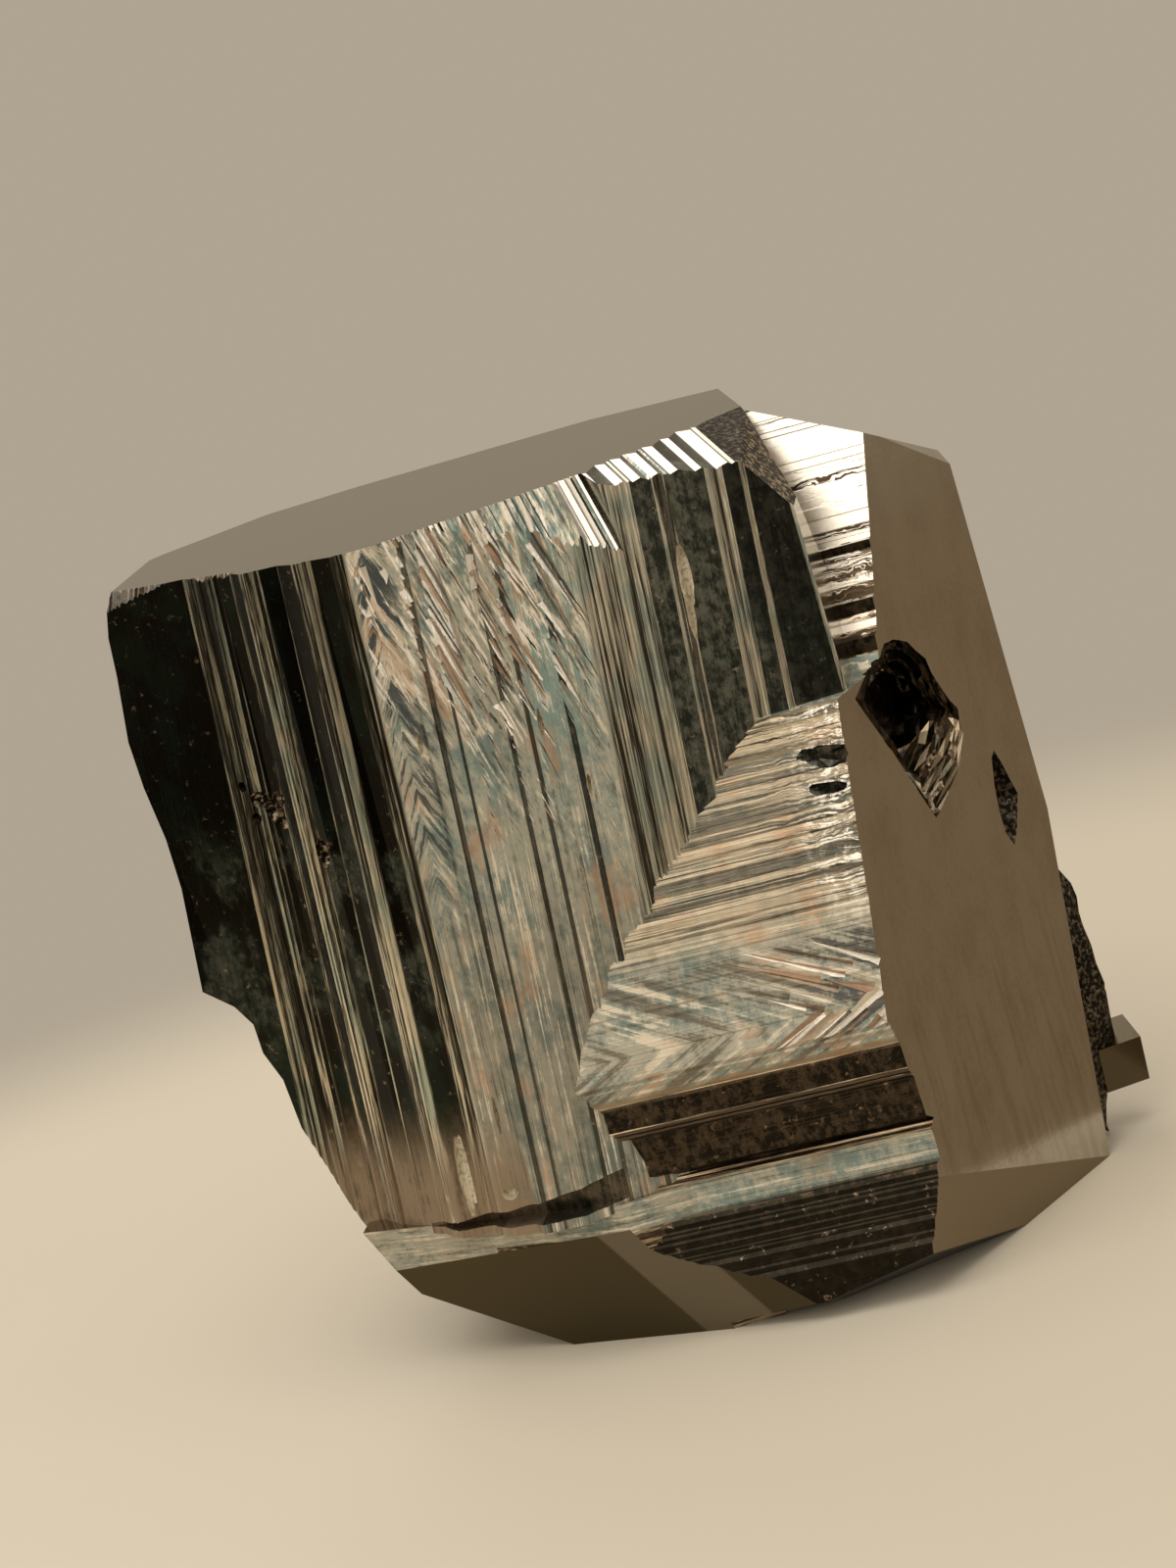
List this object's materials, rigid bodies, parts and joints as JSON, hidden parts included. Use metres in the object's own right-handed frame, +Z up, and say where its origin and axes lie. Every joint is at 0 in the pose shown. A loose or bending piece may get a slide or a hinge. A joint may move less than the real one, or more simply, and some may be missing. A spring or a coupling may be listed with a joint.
{
  "type": "pyrite specimen",
  "caption": "Intergrown blocky pyrite crystals with a smooth top and right face, striated stepped front, mitred cross growth and a grown-in pit.",
  "frame": {"origin": "under the middle of the specimen's box, on the surface it rests on", "axes": "+Z up, -Y the striated front, +X towards the smooth right face"},
  "size_m": [0.036, 0.0176, 0.0348],
  "materials": {
    "pyrite": "natural metallic lustre: satin growth faces, finely striated front with dark, teal and copper tarnish"
  },
  "bodies": {
    "root": {"pyrite_crystal": "pyrite"}
  },
  "joints": []
}
